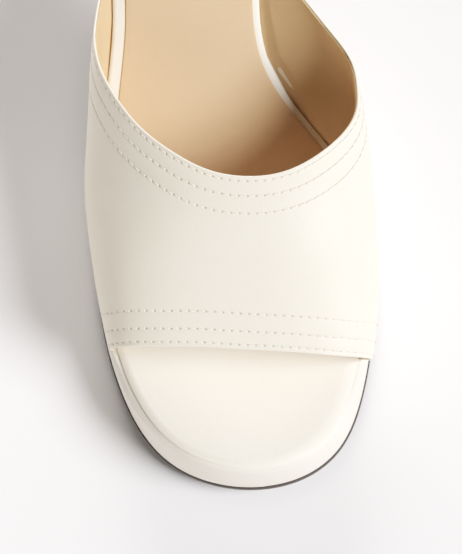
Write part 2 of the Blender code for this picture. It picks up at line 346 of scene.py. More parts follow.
def travel(line):
    """Length travelled along a line of points, at each of them."""
    return np.concatenate([[0.0], np.cumsum(np.linalg.norm(np.diff(line, axis=0), axis=1))])


# ---- the last: outline, pitch and sections ---------------------------
TIP = INSOLE[0][0]
HEEL_POINT = INSOLE[-1][0]


def turn_at(along):
    """Angle round the outline: 0 at the toe tip and pi at the heel's back, on the lateral side."""
    share = (np.asarray(along, float) - TIP) / (HEEL_POINT - TIP)
    return np.arccos(np.clip(1 - 2 * share, -1, 1))


def closed_outline():
    stations = [row[0] for row in INSOLE]
    inner = INSOLE[1:-1]
    turns = list(turn_at(stations))
    turns += [2 * math.pi - turn for turn in turns[-2:0:-1]]
    across = [row[1] for row in INSOLE] + [row[2] for row in reversed(inner)]
    return cubic(turns, across, period=2 * math.pi)


outline_x = closed_outline()
feather_height, = table_curves(PITCH)
margin_lateral, margin_medial = table_curves(SOLE_MARGIN)
welt_lateral, welt_medial = table_curves(WELT)
slack, = table_curves(SLACK)
(ridge_x, ridge_up, bulge_lateral, bulge_medial, bulge_up,
 full_lateral, full_medial) = table_curves(LAST)


def outline_along(turn):
    return TIP + (HEEL_POINT - TIP) * (1 - np.cos(turn)) / 2


def outline(turn, margin):
    """Plan points (x, along) of the insole's edge moved outwards by a margin."""
    nudge = 1e-4
    across = (outline_x(turn + nudge) - outline_x(turn - nudge)) / (2 * nudge)
    back = (outline_along(turn + nudge) - outline_along(turn - nudge)) / (2 * nudge)
    size = np.hypot(across, back)
    return outline_x(turn) - margin * back / size, outline_along(turn) + margin * across / size


def sole_margin(turn):
    along = outline_along(turn)
    return np.where(turn % (2 * math.pi) < math.pi, margin_lateral(along), margin_medial(along))


def seat_height(along):
    """Top of the platform and the heel."""
    return feather_height(along) + SEAT_RISE


def ground_height(along):
    """Underside of the outsole: toe spring, flat tread, then the arch up to the heel breast."""
    spring = TOE_SPRING * (np.clip(FLAT_FROM - along, 0, None) / FLAT_FROM) ** 2
    rise = ramp(along, FLAT_TO, WAIST_FROM)
    return spring + rise * (seat_height(along) - WAIST_THICKNESS)


def insole_top(x, along):
    """Top of the padded insole at a plan point."""
    turn = turn_at(along)
    low = outline_x(turn)
    high = outline_x(2 * math.pi - turn)
    across = np.clip((x - (low + high) / 2) / np.maximum((high - low) / 2, 1.0), -1, 1)
    crown = INSOLE_CROWN * (1 - np.abs(across) ** INSOLE_CROWN_POWER)
    return feather_height(along) + INSOLE_TOP + crown


def last_point(around, along):
    """Outer face of the upper at a place round the section and a distance along the foot."""
    lateral = around < 0.5
    side = np.where(lateral, -1.0, 1.0)
    turn = turn_at(along)
    foot = outline_x(np.where(lateral, turn, 2 * math.pi - turn)) + side * (WALL + GAP)
    bulge = np.where(lateral, bulge_lateral(along), bulge_medial(along))
    full = np.where(lateral, full_lateral(along), full_medial(along))
    low = bulge_up(along)
    rise = ridge_up(along) - low
    share = 3 * full * rise / (low + 3 * full * rise)
    from_ridge = np.abs(2 * around - 1)

    up_wall = np.clip((1 - from_ridge) / (1 - share), 0, 1)
    wall_x = foot + side * bulge * (1 - (1 - up_wall) ** 2)

    over = np.clip(1 - from_ridge / share, 0, 1)
    reach = foot + side * bulge - ridge_x(along)
    start = (1 - over) ** 3
    rising = 3 * over * (1 - over) ** 2
    turning = 3 * over ** 2 * (1 - over)
    top_x = ridge_x(along) + reach * (start + rising + turning * full)
    top_z = low + rise * (rising * full + turning + over ** 3)

    on_wall = from_ridge > share
    x = np.where(on_wall, wall_x, top_x)
    wall_z = SEAT_RISE + (low - SEAT_RISE) * up_wall
    sinking = np.minimum(ramp(from_ridge, SLACK_START, SLACK_DEEPEST),
                         ramp(from_ridge, 1.0, SLACK_DEEPEST))
    z = feather_height(along) + GAP + np.where(on_wall, wall_z, top_z)
    z = z - np.where(lateral, sinking * slack(along), 0.0)
    return np.stack([x, along, z], axis=-1)


# ---- meshes ----------------------------------------------------------
def world(points):
    """Points (x, along, z) in millimetres to metres in the shoe's frame."""
    return (np.asarray(points, float) - (MIDDLE_X, TOE_TIP + LENGTH / 2, 0.0)) * MM


def loft_faces(stations, count):
    """Quads between neighbouring closed loops of equal count."""
    start = np.arange(stations - 1)[:, None] * count
    here = np.arange(count)[None, :]
    after = (here + 1) % count
    corners = [start + here, start + after, start + count + after, start + count + here]
    return np.stack(corners, -1).reshape(-1, 4).tolist()


def add_piece(name, points, faces, material, replaced=(), weld=True):
    """A closed mesh that rides with the shoe, from points in millimetres."""
    mesh = bpy.data.meshes.new(name)
    mesh.from_pydata(world(points).tolist(), [], faces)
    shape = bmesh.new()
    shape.from_mesh(mesh)
    if weld:
        bmesh.ops.remove_doubles(shape, verts=shape.verts, dist=WELD)
        bmesh.ops.dissolve_degenerate(shape, dist=WELD, edges=shape.edges)
    bmesh.ops.recalc_face_normals(shape, faces=shape.faces)
    shape.to_mesh(mesh)
    shape.free()
    mesh.shade_smooth()
    mesh.set_sharp_from_angle(angle=SMOOTH_ANGLE)
    mesh.materials.append(material)
    piece = bpy.data.objects.new(name, mesh)
    bpy.context.scene.collection.objects.link(piece)
    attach(piece, "root")
    if replaced:
        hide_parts(*replaced)
    return piece


def arc(radius_out, radius_down, steps):
    """Inset and drop of points along a rounded top edge, from the side up to the top."""
    angles = [math.pi / 2 * i / steps for i in range(steps + 1)]
    return [(radius_out * (1 - math.cos(a)), radius_down * (1 - math.sin(a))) for a in angles]


def slab_loops(turns, levels, columns, top_height):
    """Loops across a sole-like piece, one at each turn from the tip back: up the lateral side by its
    levels, across the top, down the medial side and back across underneath. A level is a margin
    function of the turn and a height function of the plan point."""

    def side(at):
        points = []
        for margin, height in levels:
            x, along = outline(at, margin(at))
            points.append(np.stack([x, along, height(x, along)], axis=-1))
        return points

    lateral = side(turns)
    medial = side(2 * math.pi - turns)
    top = []
    under = []
    for step in range(1, columns):
        share = step / columns
        point = blend(lateral[-1], medial[-1], share)
        point[:, 2] = top_height(point[:, 0], point[:, 1])
        top.append(point)
        under.append(blend(medial[0], lateral[0], share))
    return np.stack(lateral + top + medial[::-1] + under, axis=1)


def slab_faces(loops, cap_last):
    stations, count = loops.shape[:2]
    faces = loft_faces(stations, count)
    if cap_last:
        faces.append([(stations - 1) * count + i for i in range(count)])
    return faces


# ---- materials -------------------------------------------------------
MIX_SHARE, MIX_FIRST, MIX_SECOND, MIX_RESULT = 0, 6, 7, 2      # colour sockets of the Mix node
SPECK_TONE = 0.93          # tones of a leather's marks, and of the painted shade in its needle holes, as shares of its deep tone
FURROW_TONE = 0.90
HOLE_SHADE_TONE = 0.54


def feed(tree, made, inputs):
    """Gives a node's sockets, by name or index, a value or another node's output."""
    for socket, value in inputs.items():
        if isinstance(value, bpy.types.NodeSocket):
            tree.links.new(value, made.inputs[socket])
        else:
            made.inputs[socket].default_value = value


def node(tree, kind, inputs, **settings):
    made = tree.nodes.new(kind)
    for name, value in settings.items():
        setattr(made, name, value)
    feed(tree, made, inputs)
    return made


def rgba(colour):
    return (*colour, 1.0)


def darker(colour, share):
    return tuple(share * part for part in colour)


def mix_colour(tree, share, first, second):
    """Blend of two colours; the first may be another node's output."""
    first = rgba(first) if isinstance(first, tuple) else first
    sockets = {MIX_SHARE: share, MIX_FIRST: first, MIX_SECOND: rgba(second)}
    return node(tree, "ShaderNodeMix", sockets, data_type="RGBA").outputs[MIX_RESULT]


def noise(tree, where, scale, detail, roughness=0.5, output="Fac"):
    return node(tree, "ShaderNodeTexNoise", {
        "Vector": where, "Scale": scale, "Detail": detail, "Roughness": roughness}).outputs[output]


def bump(tree, height, strength, distance, under=None):
    """Bump of a height, over another bump if one is given; distance in millimetres."""
    inputs = {"Height": height, "Strength": strength, "Distance": distance * MM}
    if under is not None:
        inputs["Normal"] = under
    return node(tree, "ShaderNodeBump", inputs).outputs["Normal"]


def remap(tree, value, low, high, to_low, to_high):
    made = node(tree, "ShaderNodeMapRange", {
        "Value": value, "From Min": low, "From Max": high, "To Min": to_low, "To Max": to_high})
    return made.outputs["Result"]


def new_material(name):
    """A material, its node tree and shader, and the coordinates of the object."""
    material = bpy.data.materials.new(name)
    material.use_nodes = True
    tree = material.node_tree
    where = node(tree, "ShaderNodeTexCoord", {}).outputs["Object"]
    return material, tree, tree.nodes["Principled BSDF"], where


def grain_furrows(tree, where, grain):
    """Fine leather grain: 0 in the furrows between its warped cells and 1 on them."""
    bent = noise(tree, where, 0.5 / (grain * MM), 1.0, output="Color")
    shift = node(tree, "ShaderNodeVectorMath", {0: bent, "Scale": 0.9 * grain * MM}, operation="SCALE")
    warped = node(tree, "ShaderNodeVectorMath", {0: where, 1: shift.outputs["Vector"]}, operation="ADD")
    cells = node(tree, "ShaderNodeTexVoronoi", {
        "Vector": warped.outputs["Vector"], "Scale": 1.0 / (grain * MM)}, feature="DISTANCE_TO_EDGE")
    return remap(tree, cells.outputs["Distance"], 0.0, 0.22, 0.0, 1.0)


def leather(name, colour, deep, roughness, grain=0.55, grain_depth=0.012, coat=0.0, specular=0.5,
            holes=False):
    """Smooth leather: soft patches of tone, freckles, a fine cell grain and slow unevenness.
    grain is the size of a grain cell in millimetres, and deep the tone of its deeper patches."""
    material, tree, shader, where = new_material(name)
    patches = noise(tree, where, 38.0, 4.0, 0.55)
    freckles = noise(tree, where, 620.0, 2.0, 0.6)
    furrows = grain_furrows(tree, where, grain)

    deeper = remap(tree, patches, 0.35, 0.68, 0.0, 1.0)
    speckled = remap(tree, freckles, 0.55, 0.80, 0.0, 0.35)
    furrowed = remap(tree, furrows, 0.0, 1.0, 0.22, 0.0)
    tone = mix_colour(tree, deeper, colour, deep)
    tone = mix_colour(tree, speckled, tone, darker(deep, SPECK_TONE))
    tone = mix_colour(tree, furrowed, tone, darker(deep, FURROW_TONE))
    # Painted shade: needle holes are darkened towards a deeper tone, standing in for the shade inside
    # them.
    if holes:
        hole = node(tree, "ShaderNodeAttribute", {}, attribute_name="stitch_hole_shade").outputs["Fac"]
        tone = mix_colour(tree, hole, tone, darker(deep, HOLE_SHADE_TONE))

    slow = bump(tree, patches, 0.25, 0.4)
    grained = bump(tree, furrows, 0.6, grain_depth, slow)
    feed(tree, shader, {
        "Base Color": tone,
        "Roughness": remap(tree, patches, 0.3, 0.7, roughness - 0.04, roughness + 0.05),
        "Specular IOR Level": specular,
        "Coat Weight": coat,
        "Coat Roughness": 0.35,
        "Normal": bump(tree, freckles, 0.3, grain_depth, grained)})
    return material


def sole_rubber(name, colour, worn, roughness):
    """Dark satin sole material with a fine tooth and slightly greyer, rubbed patches."""
    material, tree, shader, where = new_material(name)
    rubbed = noise(tree, where, 90.0, 6.0, 0.65)
    tooth = noise(tree, where, 2600.0, 2.0)
    feed(tree, shader, {
        "Base Color": mix_colour(tree, remap(tree, rubbed, 0.5, 0.75, 0.0, 1.0), colour, worn),
        "Roughness": remap(tree, rubbed, 0.3, 0.7, roughness, roughness + 0.15),
        "Normal": bump(tree, tooth, 0.5, 0.03)})
    return material


def thread_material(name, colour, deep):
    """Twisted sewing thread: fine slanting plies."""
    material, tree, shader, where = new_material(name)
    plies = node(tree, "ShaderNodeTexWave", {
        "Vector": where, "Scale": 900.0, "Distortion": 1.5, "Detail": 1.0},
        bands_direction="DIAGONAL").outputs["Fac"]
    feed(tree, shader, {
        "Base Color": mix_colour(tree, plies, deep, colour),
        "Roughness": 0.6,
        "Sheen Weight": 0.15,
        "Normal": bump(tree, plies, 0.5, 0.04)})
    return material


def floor_material():
    """Matt pale grey with very soft clouds."""
    material, tree, shader, where = new_material("pale_floor")
    cloud = noise(tree, where, 6.0, 2.0)
    feed(tree, shader, {
        "Base Color": mix_colour(tree, cloud, (0.84, 0.84, 0.84), (0.87, 0.87, 0.865)),
        "Roughness": 0.75,
        "Specular IOR Level": 0.2})
    return material


# ---- the band --------------------------------------------------------
COLUMNS = 560              # lines from toe edge to collar
MIDDLE_ROWS = 16           # between the two stitched hems
HEM = 12.6                 # width of each stitched hem
HEM_REACH = 0.45           # share of a line within which a hem surely ends
HEM_STEP = 0.9             # widest step between mesh rows in a hem
NEAR_STITCHES = (-0.75, -0.5, -0.32, -0.16, 0.0, 0.16, 0.32, 0.5, 0.75)    # mesh rows beside a row
NEIGHBOURS = 70            # columns each way among which the nearest point of an edge is found
FOLD_STEPS = 8
COARSE = 4                 # inner faces keep one mesh row in this many

# A row of stitches: its mesh row, every mesh row's distance from the edge it follows, its own
# distance from that edge, and the length travelled along it at each column.
StitchRow = namedtuple("StitchRow", "index distances distance travelled")


def hem_distances(rows):
    """Distances from the edge at which mesh rows run: close together at each stitch row."""
    near = sorted(row + step for row in rows for step in NEAR_STITCHES)
    distances = [LEATHER_EDGE / 2]
    for at in near + [HEM]:
        pieces = max(1, math.ceil((at - distances[-1]) / HEM_STEP))
        distances += list(np.linspace(distances[-1], at, pieces + 1)[1:])
    return np.array(distances)


def band_surface():
    """Outer face of the band on a grid of columns and rows. Rows in the hems run at an even
    distance from the edge, so stitches can follow them."""
    knots = np.arange(len(BAND), dtype=float)
    toe_around, toe_along, collar_around, collar_along = (
        cubic(knots, column) for column in zip(*BAND))

    def at(line, share):
        around = blend(toe_around(line), collar_around(line), share)
        along = blend(toe_along(line), collar_along(line), share)
        return last_point(around, along)

    fine = np.linspace(0.0, knots[-1], 4001)
    travelled = travel(at(fine, 0.0)) + travel(at(fine, 1.0))
    lines = np.interp(np.linspace(0.0, travelled[-1], COLUMNS), travelled, fine)

    def shares_at(edge_share, distances):
        """Share of each line at which it lies the given distances from an edge."""
        shares = np.abs(edge_share - np.linspace(0.0, HEM_REACH, 121))
        points = at(lines[:, None], shares[None, :])
        edge = at(lines, edge_share)
        nearest = np.full(points.shape[:2], np.inf)
        for shift in range(-NEIGHBOURS, NEIGHBOURS + 1):
            other = edge[np.clip(np.arange(COLUMNS) + shift, 0, COLUMNS - 1)]
            nearest = np.minimum(nearest, np.linalg.norm(points - other[:, None, :], axis=-1))
        nearest[:, 0] = 0.0
        nearest = np.maximum.accumulate(nearest, axis=1)
        return np.stack([np.interp(distances, row, shares) for row in nearest])

    toe_distances = hem_distances(TOE_ROWS)
    collar_distances = hem_distances(COLLAR_ROWS)
    toe_shares = shares_at(0.0, toe_distances)
    collar_shares = shares_at(1.0, collar_distances)[:, ::-1]
    middle = np.linspace(0.0, 1.0, MIDDLE_ROWS + 2)[1:-1]
    middle_shares = blend(toe_shares[:, -1:], collar_shares[:, :1], middle[None, :])
    shares = np.concatenate([toe_shares, middle_shares, collar_shares], axis=1)
    surface = at(lines[:, None], shares)
    past_toe = np.full(MIDDLE_ROWS + len(collar_distances), np.inf)
    past_collar = np.full(MIDDLE_ROWS + len(toe_distances), np.inf)
    from_toe = np.concatenate([toe_distances, past_toe])
    from_collar = np.concatenate([past_collar, collar_distances[::-1]])
    return surface, from_toe, from_collar


def grid_normals(surface):
    across = np.gradient(surface, axis=0)
    back = np.gradient(surface, axis=1)
    return unit(np.cross(across, back))


def stitch_rows(surface, from_toe, from_collar):
    rows = []
    for distances, wanted in ((from_toe, TOE_ROWS), (from_collar, COLLAR_ROWS)):
        for distance in wanted:
            index = int(np.argmin(np.abs(distances - distance)))
            rows.append(StitchRow(index, distances, distance, travel(surface[:, index])))
    return rows


def hem_relief(shape, rows, from_toe, from_collar):
    """Height of the leather over the last's own form, and how much of it is needle hole, which the
    leather's colour darkens as painted shade.
    """
    relief = np.zeros(shape)
    holes = np.zeros(shape)
    medial = ramp(np.linspace(0.0, 1.0, shape[0]), TIGHT_FROM, TIGHT_TO)
    open_share = blend(1.0, TIGHT_HOLES, medial)[:, None]
    for row in rows:
        off = np.nan_to_num(row.distances - row.distance, posinf=99.0)[None, :]
        phase = (row.travelled % STITCH_PITCH)[:, None] - STITCH_PITCH / 2
        trough = open_share * np.exp(-(off / TROUGH_WIDTH) ** 2)
        hole = open_share * np.exp(-(phase / HOLE_SPREAD) ** 2) * np.exp(-(off / HOLE_WIDTH) ** 2)
        relief -= TROUGH_DEPTH * trough + HOLE_DEPTH * hole
        holes += hole
    for distances, wanted in ((from_toe, TOE_ROWS), (from_collar, COLLAR_ROWS)):
        for first, second in zip(wanted[:-1], wanted[1:]):
            share = np.clip((distances - first) / (second - first), 0.0, 1.0)
            relief += PILLOW_HEIGHT * (np.sin(math.pi * share) ** 2)[None, :]
    return relief, np.clip(holes, 0.0, 1.0)


def shell_loops(surface, normals, rows, coarse, top, bottom):
    """Loops of a folded sheet: its outer face over all rows, the round collar edge, its inner face
    over the coarse rows and the round toe edge. top and bottom are the depths of its two faces
    under the surface at each row."""
    outer = surface[:, rows] - top[rows, None] * normals[:, rows]
    inner = surface[:, coarse[::-1]] - bottom[coarse[::-1], None] * normals[:, coarse[::-1]]

    def fold(row, towards):
        edge = surface[:, row]
        run = unit(np.gradient(edge, axis=0))
        out = unit(np.cross(run, normals[:, row])) * towards
        radius = (bottom[row] - top[row]) / 2
        centre = edge - (top[row] + radius) * normals[:, row]
        bends = [math.pi * step / FOLD_STEPS for step in range(1, FOLD_STEPS)]
        return [centre + radius * (math.cos(a) * normals[:, row] + math.sin(a) * out) for a in bends]

    collar = fold(rows[-1], -1.0)
    toe = fold(rows[0], 1.0)[::-1]
    return np.concatenate([outer, np.stack(collar, 1), inner, np.stack(toe, 1)], axis=1)


def shell_cap(offset, rows, coarse):
    """Faces that close the first or last loop of a folded sheet: one for each coarse step and one
    for each fold."""
    folds = FOLD_STEPS - 1
    outer = {row: offset + i for i, row in enumerate(rows)}
    inner = {row: offset + len(rows) + folds + i for i, row in enumerate(coarse[::-1])}
    faces = []
    for low, high in zip(coarse[:-1], coarse[1:]):
        between = [outer[row] for row in rows if low <= row <= high]
        faces.append(between + [inner[high], inner[low]])
    collar = [offset + len(rows) + i for i in range(folds)]
    toe = [offset + len(rows) + folds + len(coarse) + i for i in range(folds)]
    faces.append([outer[rows[-1]]] + collar + [inner[coarse[-1]]])
    faces.append([inner[coarse[0]]] + toe + [outer[rows[0]]])
    return faces


def add_shell(name, surface, normals, rows, coarse, top, bottom, material, replaced=()):
    loops = shell_loops(surface, normals, rows, coarse, top, bottom)
    stations, count = loops.shape[:2]
    faces = loft_faces(stations, count)
    for offset in (0, (stations - 1) * count):
        faces += shell_cap(offset, rows, coarse)
    return add_piece(name, loops.reshape(-1, 3), faces, material, replaced, weld=False)


# Places of the lining at its feet, from the inside out: how far outside the insole's edge and above
# the seat, and how far its thickness leans out and up.
LINING_FEET = [
    (0.38, 0.30, 0.40, -0.10),
    (-0.25, 0.05, 0.0, -0.06),
]


def turn_in_margins(surface, normals, depth):
    """Leads the lining at both feet down beside the insole and a little way in under it."""
    faces = [surface[1:-1]]
    turned = [normals[1:-1]]
    for column, side in ((0, -1.0), (-1, 1.0)):
        along = surface[column, :, 1]
        turn = turn_at(along)
        edge_x = outline_x(turn if side < 0 else 2 * math.pi - turn)
        for out, up, lean_out, lean_up in LINING_FEET:
            place = np.stack([edge_x + side * out, along, seat_height(along) + up], axis=-1)
            normal = np.broadcast_to((side * lean_out, 0.0, lean_up), place.shape)
            where = 0 if side < 0 else len(faces)
            faces.insert(where, (place + depth[:, None] * normal)[None])
            turned.insert(where, normal[None])
    return np.concatenate(faces), np.concatenate(turned)


def set_hole_shade(piece, holes, count):
    """Stores how much of each point is needle hole, for the painted shade that darkens the leather's
    colour there.
    """
    values = np.zeros(len(piece.data.vertices), dtype=np.float32)
    columns, rows = holes.shape
    where = np.arange(columns)[:, None] * count + np.arange(rows)[None, :]
    values[where.ravel()] = holes.ravel()
    layer = piece.data.attributes.new("stitch_hole_shade", "FLOAT", "POINT")
    layer.data.foreach_set("value", values)


def thinned(rows, step):
    """One row in every few, and the last."""
    return sorted(set(rows[::step] + rows[-1:]))


def make_band(cream, tan):
    surface, from_toe, from_collar = band_surface()
    normals = grid_normals(surface)
    rows = stitch_rows(surface, from_toe, from_collar)
    relief, holes = hem_relief(surface.shape[:2], rows, from_toe, from_collar)
    leather_face = surface + relief[:, :, None] * normals

    from_edge = np.minimum(from_toe, from_collar)
    full = ramp(from_edge, 0.0, SKIVE)
    leather_depth = blend(LEATHER_EDGE, LEATHER_THICKNESS, full)
    lining_depth = leather_depth + blend(LINING_EDGE, LINING_THICKNESS, full)

    leather_normals = normals.copy()
    for column in (0, -1):      # the two feet stand flat on the seat
        leather_face[column, :, 2] = seat_height(leather_face[column, :, 1]) + BAND_FOOT_LIFT
        leather_normals[column] = unit(normals[column] * (1.0, 1.0, 0.0))

    every = list(range(surface.shape[1]))
    coarse = thinned(every, COARSE)
    band = add_shell("band_leather", leather_face, leather_normals, every, coarse, 0 * leather_depth,
                     leather_depth - LINING_GAP, cream, ("upper",))
    # Painted shade: how much of each point is needle hole, stored for darkening the leather's colour
    # there.
    set_hole_shade(band, holes, len(every) + len(coarse) + 2 * (FOLD_STEPS - 1))

    inside = [row for row in every if from_edge[row] >= LINING_SETBACK + LINING_EDGE / 2]
    lining_rows = thinned(inside, 3)
    lining_coarse = thinned(lining_rows, 2)
    columns = slice(None, None, 2)
    lining_face, lining_normals = turn_in_margins(surface[columns], normals[columns], lining_depth)
    add_shell("band_lining", lining_face, lining_normals, lining_rows, lining_coarse,
              leather_depth, lining_depth, tan)
    return leather_face, normals, rows


def make_stitches(face, normals, rows, thread):
    """Each row of lock stitches as one mesh: short threads that dive into shared needle holes."""
    sides = 8
    steps = 11
    share = np.linspace(0.0, 1.0, steps)
    lift = blend(-THREAD_DIVE, THREAD_RISE, smooth_step(np.minimum(share, 1 - share) / THREAD_BEND))
    slant = THREAD_SLANT * (share - 0.5)
    angles = 2 * math.pi * np.arange(sides) / sides
    names = [f"{edge}_stitches_{number}" for edge in ("toe", "collar") for number in (1, 2, 3)]
    for name, row in zip(names, rows):
        first = math.ceil(BARE_ENDS / STITCH_PITCH)
        last = math.floor((row.travelled[-1] - BARE_ENDS) / STITCH_PITCH) - 1
        starts = (np.arange(first, last) + 0.5) * STITCH_PITCH
        places = starts[:, None] + share[None, :] * STITCH_PITCH

        def along_row(grid):
            """Values of a grid at the threads' places on this row."""
            return np.stack([np.interp(places, row.travelled, grid[:, row.index, i])
                             for i in range(3)], -1)

        normal = unit(along_row(normals))
        ends = along_row(face)[:, [0, -1]]
        straight = blend(ends[:, :1], ends[:, 1:], share[None, :, None])
        side = np.cross(unit(np.gradient(straight, axis=1)), normal)
        centre = straight + slant[None, :, None] * side + (lift + HOLE_DEPTH)[None, :, None] * normal
        rings = [centre + THREAD_RADIUS * (math.cos(a) * side + math.sin(a) * normal) for a in angles]
        points = np.stack(rings, axis=2)
        faces = []
        for stitch in range(len(starts)):
            base = stitch * steps * sides
            faces += (np.array(loft_faces(steps, sides)) + base).tolist()
            faces.append([base + i for i in range(sides)])
            faces.append([base + (steps - 1) * sides + i for i in range(sides)])
        add_piece(name, points.reshape(-1, 3), faces, thread, weld=False)


# ---- insole and sock -------------------------------------------------
# The foot of the insole's side: how far outside its edge and above the seat.
INSOLE_FOOT = [(-0.40, 0.03), (-0.08, 0.05), (0.0, 0.12), (0.0, 0.24)]
INSOLE_CORNER = (0.10, 0.12)       # inset and height of the round above it


def make_insole(material):
    turns = np.linspace(0.0, math.pi, 181)

    def size(along):
        return blend(1.0, WAIST_SLOPE_SHARE, ramp(along, WAIST_SLOPE_FROM, WAIST_SLOPE_TO))

    def softer(x):
        return MEDIAL_SOFTENING * ramp(x, 0.0, MEDIAL_SOFTENING_X)

    def foot(out, up):
        return (lambda turn: out, lambda x, along: seat_height(along) + up)

    def slope(share, drop=0.0, out=0.0):
        """Level on the thinned edge: share 0 at its outer end, 1 where the flat top begins."""
        fall = INSOLE_SLOPE_DROP * (1 - share) ** INSOLE_SLOPE_POWER

        def margin(turn):
            widening = (1 + softer(outline_x(turn))) * size(outline_along(turn))
            return out - share * INSOLE_SLOPE_WIDTH * widening

        def height(x, along):
            loss = (1 - MEDIAL_DROP_LOSS * softer(x)) * size(along)
            return insole_top(x, along) - fall * loss - drop

        return margin, height

    levels = [foot(out, up) for out, up in INSOLE_FOOT]
    levels += [slope(0.0, drop, -inset) for inset, drop in arc(*INSOLE_CORNER, 4)[:-1]]
    levels += [slope(share, out=-INSOLE_CORNER[0] * (1 - share)) for share in np.linspace(0, 1, 14)]
    loops = slab_loops(turns, levels, 28, insole_top)
    piece = add_piece("insole_cover", loops.reshape(-1, 3), slab_faces(loops, False), material,
                      ("insole",))


def make_sock(material):
    """Tan sock glued on the insole's cover; a border of the cover stays bare round it."""
    turns = np.linspace(float(turn_at(SOCK_FROM)), math.pi, 141)

    def level(inset, up):
        return (lambda turn: -(SOCK_BORDER + SOCK_BORDER_GAIN * np.sin(turn) + inset),
                lambda x, along: insole_top(x, along) + up)

    levels = [level(0.0, -SOCK_SUNK)]
    levels += [level(inset, SOCK_THICKNESS - drop) for inset, drop in arc(SOCK_EDGE, SOCK_EDGE, 4)]
    loops = slab_loops(turns, levels, 24, lambda x, along: insole_top(x, along) + SOCK_THICKNESS)
    faces = slab_faces(loops, False)
    faces.append(list(range(loops.shape[1])))
    add_piece("sock", loops.reshape(-1, 3), faces, material)


# ---- platform, outsole and heel --------------------------------------
SOLE_TURNS = np.linspace(0.0, float(turn_at(HEEL_BREAST)), 171)


def flatten_end(loops):
    """Puts the last loop on the plane of the heel breast."""
    loops[-1, :, 1] = HEEL_BREAST
    return loops


def make_platform(material):
    over_sole = OUTSOLE_THICKNESS + 0.05

    def foot(turn):
        along = outline_along(turn)
        welt = np.where(turn < math.pi, welt_lateral(along), welt_medial(along))
        return sole_margin(turn) - welt

    def top(turn):
        widening = ramp(outline_along(turn), PLATFORM_WIDENS_FROM, PLATFORM_WIDENS_TO)
        return np.minimum(blend(PLATFORM_TIP_MARGIN, PLATFORM_TOP_MARGIN, widening), foot(turn))

    def wall(share):
        """Level on the side wall; it is turned in a little at the foot, where the wrap goes under."""
        tuck = PLATFORM_TUCK * (1 - min(share / PLATFORM_TUCK_SHARE, 1.0)) ** 2
        belly = PLATFORM_BELLY * math.sin(math.pi * share)
        return (lambda turn: blend(foot(turn), top(turn), share) - tuck + belly,
                lambda x, along: blend(ground_height(along) + over_sole,
                                       seat_height(along) - PLATFORM_EDGE, share))

    def edge(share):
        """Level on the rounded top edge, from the side wall (share 0) to the ledge (share 1)."""
        out = 1 - share

        def margin(turn):
            bare = ramp(outline_along(turn), PLATFORM_BARE_FADE, PLATFORM_BARE_TO)
            bare_edge = np.minimum(PLATFORM_TOE_EDGE, top(turn))
            return top(turn) - share * blend(PLATFORM_EDGE, bare_edge, bare)

        def height(x, along):
            slant = PLATFORM_SLANT * ramp(along, PLATFORM_SLANT_FADE, PLATFORM_SLANT_TO)
            slant *= ramp(x, 0.0, PLATFORM_SLANT_X)
            fall = PLATFORM_FALL * (out + out ** 3) + slant * out
            return seat_height(along) - PLATFORM_EDGE * fall

        return margin, height

    levels = [wall(share) for share in (0.0, 0.02, 0.04, 0.07, 0.2, 0.35, 0.5, 0.65, 0.8, 0.9)]
    levels += [edge(share) for share in (0.0, 0.04, 0.1, 0.18, 0.28, 0.4, 0.55, 0.7, 0.85, 1.0)]
    loops = flatten_end(slab_loops(SOLE_TURNS, levels, 8, lambda x, along: seat_height(along)))
    add_piece("platform_wrap", loops.reshape(-1, 3), slab_faces(loops, True), material,
              ("platform",))


# Outsole, from the middle of its tread outwards and up: how far outside its edge, and how high.
OUTSOLE_CHANNEL = [(-6.6, 0.0), (-6.1, 0.0), (-5.9, 0.22), (-5.5, 0.22), (-5.3, 0.0), (-4.8, 0.0)]
OUTSOLE_TOP = [
    (0.04, 1.4),
    (0.0, OUTSOLE_THICKNESS - 0.3),
    (-0.09, OUTSOLE_THICKNESS - 0.09),
    (-0.3, OUTSOLE_THICKNESS),
    (-1.4, OUTSOLE_THICKNESS),
]


def make_outsole(material):
    def level(out, up):
        return (lambda turn: sole_margin(turn) + out, lambda x, along: ground_height(along) + up)

    rounded = [(-inset, drop) for inset, drop in arc(OUTSOLE_EDGE, OUTSOLE_EDGE, 6)[::-1]]
    levels = [level(out, up) for out, up in OUTSOLE_CHANNEL + rounded + OUTSOLE_TOP]
    loops = flatten_end(slab_loops(SOLE_TURNS, levels, 12,
                                   lambda x, along: ground_height(along) + OUTSOLE_THICKNESS))
    add_piece("outsole_edge_and_tread", loops.reshape(-1, 3), slab_faces(loops, True), material,
              ("outsole",))


# Rings round the top piece from the ground up: inset and height.
TOP_PIECE_RINGS = [
    (0.5, 0.0),
    (0.15, 0.12),
    (0.0, 0.5),
    (0.0, TOP_PIECE_THICKNESS - 0.4),
    (0.12, TOP_PIECE_THICKNESS - 0.1),
    (0.4, TOP_PIECE_THICKNESS),
]

# Rings round the heel from its foot up to its seat: fall, inset and lift.
HEEL_RINGS = [(1.0, 0.35, 0.0), (1.0, 0.1, 0.12), (0.99, 0.0, 0.0)]
HEEL_RINGS += [(1 - step / 24, 0.0, 0.0) for step in range(1, 25)]


